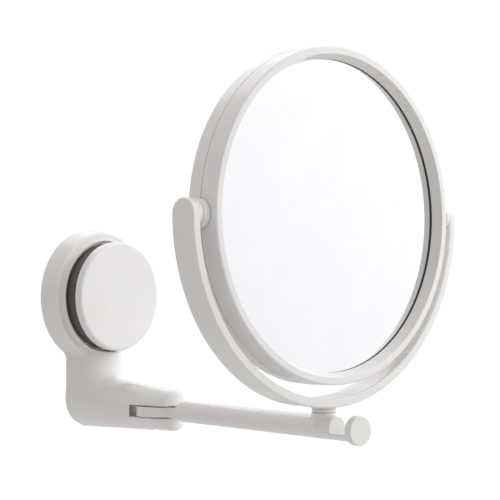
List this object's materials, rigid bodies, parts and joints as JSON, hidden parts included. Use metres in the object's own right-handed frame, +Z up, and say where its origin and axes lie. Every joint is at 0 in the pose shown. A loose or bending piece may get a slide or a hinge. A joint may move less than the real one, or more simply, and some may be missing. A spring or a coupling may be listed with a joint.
{
  "type": "wall-mounted swing-arm shaving mirror",
  "caption": "Round double-sided shaving mirror in a yoke, on a folding swing arm with a towel hook, held to the wall by a twist-lock suction mount.",
  "frame": {"origin": "centre of the suction cup's flat face, which rests on the wall", "axes": "+Y into the wall, +Z up, +X to the right for someone facing the wall"},
  "size_m": [0.2051, 0.2299, 0.2179],
  "materials": {
    "white_abs": "satin-gloss injection-moulded white ABS",
    "grey_plastic": "finely textured dark grey moulded plastic",
    "mirror_glass": "back-silvered float glass",
    "clear_tpu": "smooth soft translucent elastomer",
    "natural_nylon": "natural moulded nylon",
    "zinc_steel": "bright zinc-plated steel",
    "spring_steel": "blanked spring steel",
    "turned_brass": "turned brass",
    "black_foam": "closed-cell foam"
  },
  "bodies": {
    "base": {"wall_bracket": "white_abs", "suction_cup": "clear_tpu", "thrust_washer": "natural_nylon", "hinge_pin": "zinc_steel", "hinge_washers": "natural_nylon", "hinge_plug": "white_abs"},
    "knob": {"knob_cap": "white_abs", "lock_collar": "grey_plastic", "collar_screws": "zinc_steel", "knob_nut": "turned_brass", "retaining_clip": "spring_steel"},
    "stud": {"cup_stud": "turned_brass"},
    "arm": {"swing_arm": "white_abs", "swivel_bush": "natural_nylon", "swivel_plug": "white_abs"},
    "yoke": {"yoke": "white_abs", "pivot_pins": "zinc_steel", "swivel_washer": "white_abs", "swivel_spring_washer": "spring_steel", "swivel_screw": "zinc_steel"},
    "mirror": {"front_shell": "white_abs", "rear_shell": "white_abs", "plain_glass": "mirror_glass", "magnifier_glass": "mirror_glass", "glass_spacer": "black_foam", "pivot_bush_left": "white_abs", "pivot_bush_right": "white_abs"}
  },
  "joints": [
    {"name": "knob_turn", "type": "hinge", "parent": "base", "child": "knob", "pos_m": [0, 0, 0], "axis": [0, -1, 0], "range_deg": [0, 270]},
    {"name": "stud_lift", "type": "slide", "parent": "base", "child": "stud", "axis": [0, -1, 0], "range_m": [0, 0.003], "deforming": ["suction_cup"]},
    {"name": "arm_fold", "type": "hinge", "parent": "base", "child": "arm", "pos_m": [0, -0.061, -0.0665], "axis": [0, 0, 1], "range_deg": [-82.5, 97.5]},
    {"name": "yoke_swivel", "type": "hinge", "parent": "arm", "child": "yoke", "pos_m": [-0.01847, -0.20129, -0.0585], "axis": [0, 0, 1], "continuous": true},
    {"name": "mirror_tilt", "type": "hinge", "parent": "yoke", "child": "mirror", "pos_m": [-0.01847, -0.20129, 0.0465], "axis": [0.9969, -0.0785, 0], "continuous": true}
  ],
  "couplings": [
    {"joint": "stud_lift", "follows": "knob_turn", "m_per_rad": 0.00063662}
  ]
}
